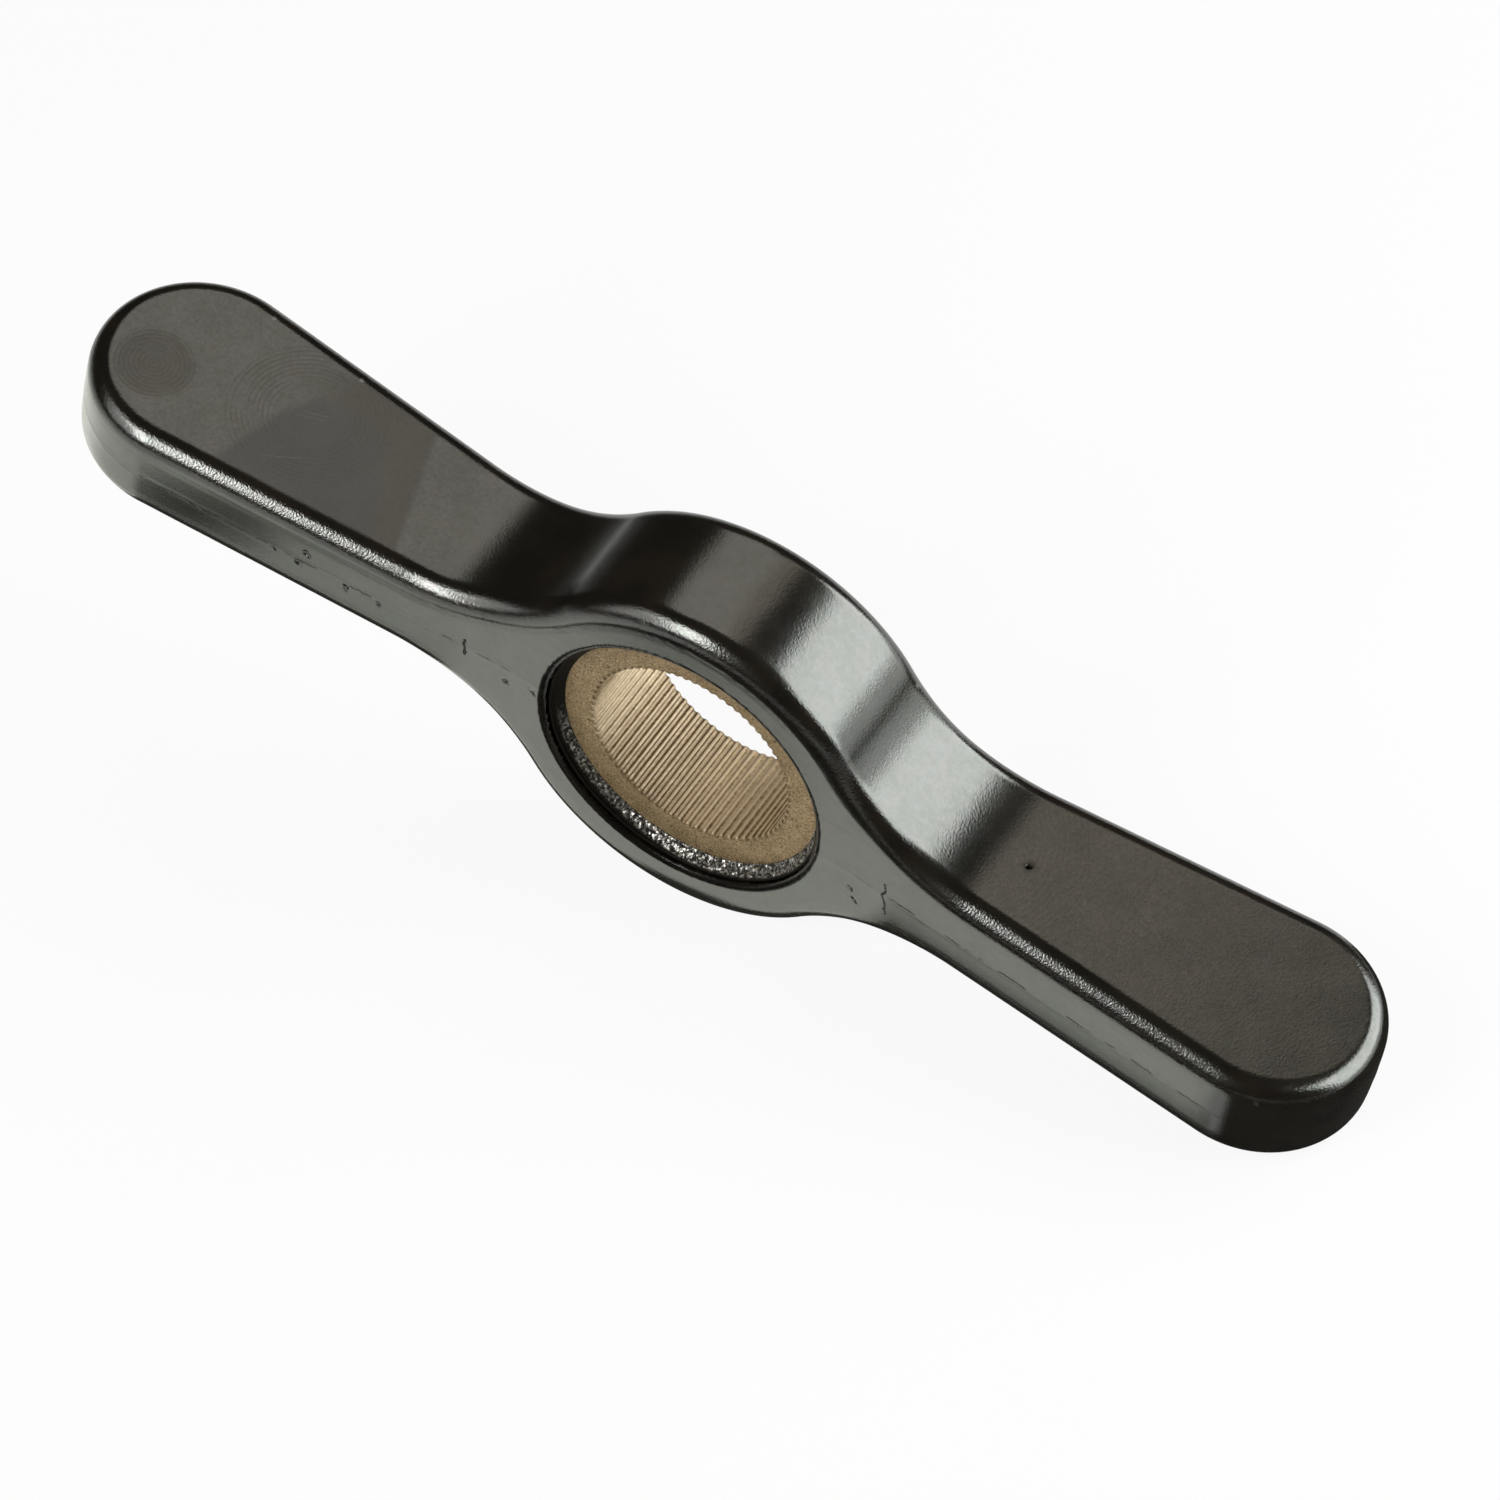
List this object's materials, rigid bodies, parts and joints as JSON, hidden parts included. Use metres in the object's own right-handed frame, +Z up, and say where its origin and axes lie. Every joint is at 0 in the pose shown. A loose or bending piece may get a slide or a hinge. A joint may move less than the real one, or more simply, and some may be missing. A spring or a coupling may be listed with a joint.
{
  "type": "splined wing key",
  "caption": "Black die-cast turning key: flared, round-tipped wings either side of a ring hub that holds a serrated bronze bush, pushed onto a splined valve spindle and turned by hand.",
  "frame": {"origin": "on the bore axis, midway across the width of the wings", "axes": "+X level along the wings, towards the wing tip that lies on the table, +Y along the bore towards the back of the hub, +Z up as the key lies on its hub and that wing tip, its wings turned 12.3 degrees about the bore"},
  "size_m": [0.0746, 0.0118, 0.0216],
  "materials": {
    "black_coating": "glossy black coating over a zinc die casting",
    "sintered_bronze": "fine-grained sintered bronze, satin"
  },
  "bodies": {
    "root": {"handle_casting": "black_coating", "splined_bush": "sintered_bronze"}
  },
  "joints": []
}
